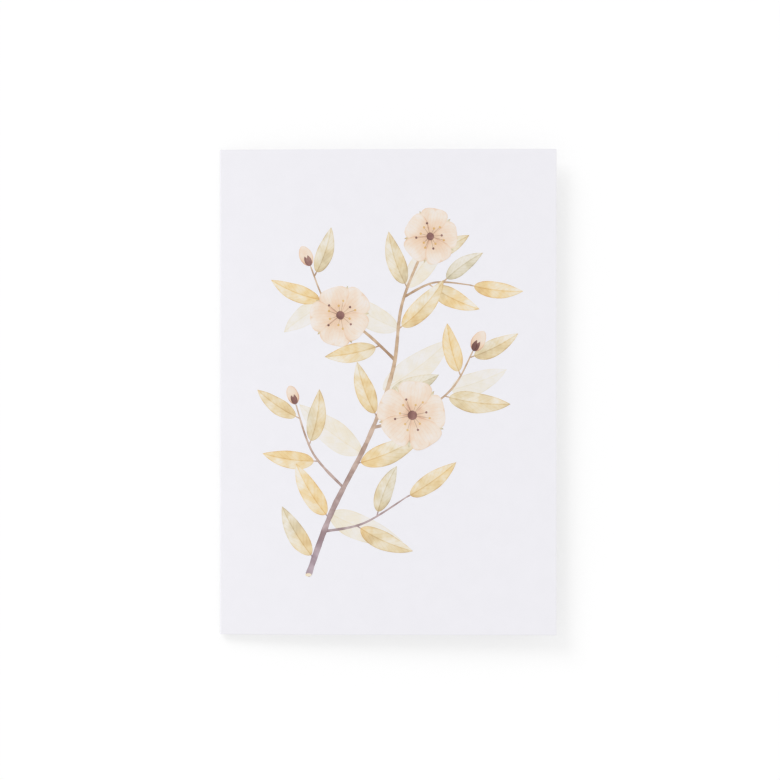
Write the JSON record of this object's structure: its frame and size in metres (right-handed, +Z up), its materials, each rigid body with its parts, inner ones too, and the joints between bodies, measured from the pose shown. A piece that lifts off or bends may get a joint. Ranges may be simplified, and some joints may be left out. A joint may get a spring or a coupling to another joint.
{
  "type": "greeting card",
  "caption": "Folded greeting card of stiff uncoated board, lying closed on its back panel with the front panel slightly sprung open.",
  "frame": {"origin": "middle of the closed card's outline, on the surface that its back panel lies on", "axes": "+Z up out of the front panel, +Y towards the top of the card, along the fold; the fold is at -X and the card opens at +X"},
  "size_m": [0.127, 0.183, 0.0073],
  "materials": {
    "card_board": "matt uncoated board, slightly cool white"
  },
  "bodies": {
    "root": {"card": "card_board"}
  },
  "joints": []
}
